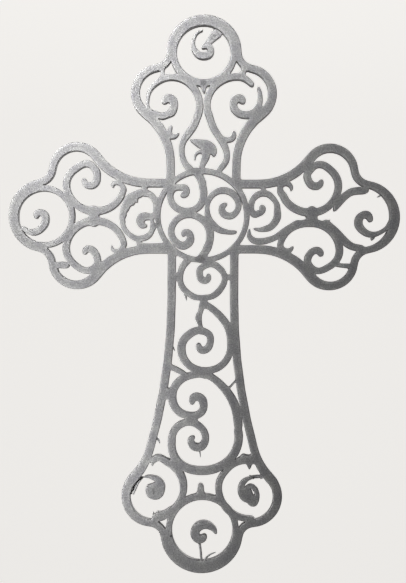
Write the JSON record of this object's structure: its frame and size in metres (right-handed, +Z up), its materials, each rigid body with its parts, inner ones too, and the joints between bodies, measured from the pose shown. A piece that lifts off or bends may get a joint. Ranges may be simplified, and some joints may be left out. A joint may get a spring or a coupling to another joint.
{
  "type": "openwork iron cross",
  "caption": "Flat openwork iron cross with lobed limb ends filled with scrollwork, fixed upright by its flat back on a wall, door or grave marker.",
  "frame": {"origin": "on the flat back, on the centre line, behind the middle of the topmost bar, where the cross is fixed", "axes": "+Z up the cross from foot to top, +X to the viewer's right, +Y out of the flat back towards the wall"},
  "size_m": [0.2803, 0.01, 0.4],
  "materials": {
    "iron": "matt, bead-blasted bare iron"
  },
  "bodies": {
    "root": {"cross": "iron"}
  },
  "joints": []
}
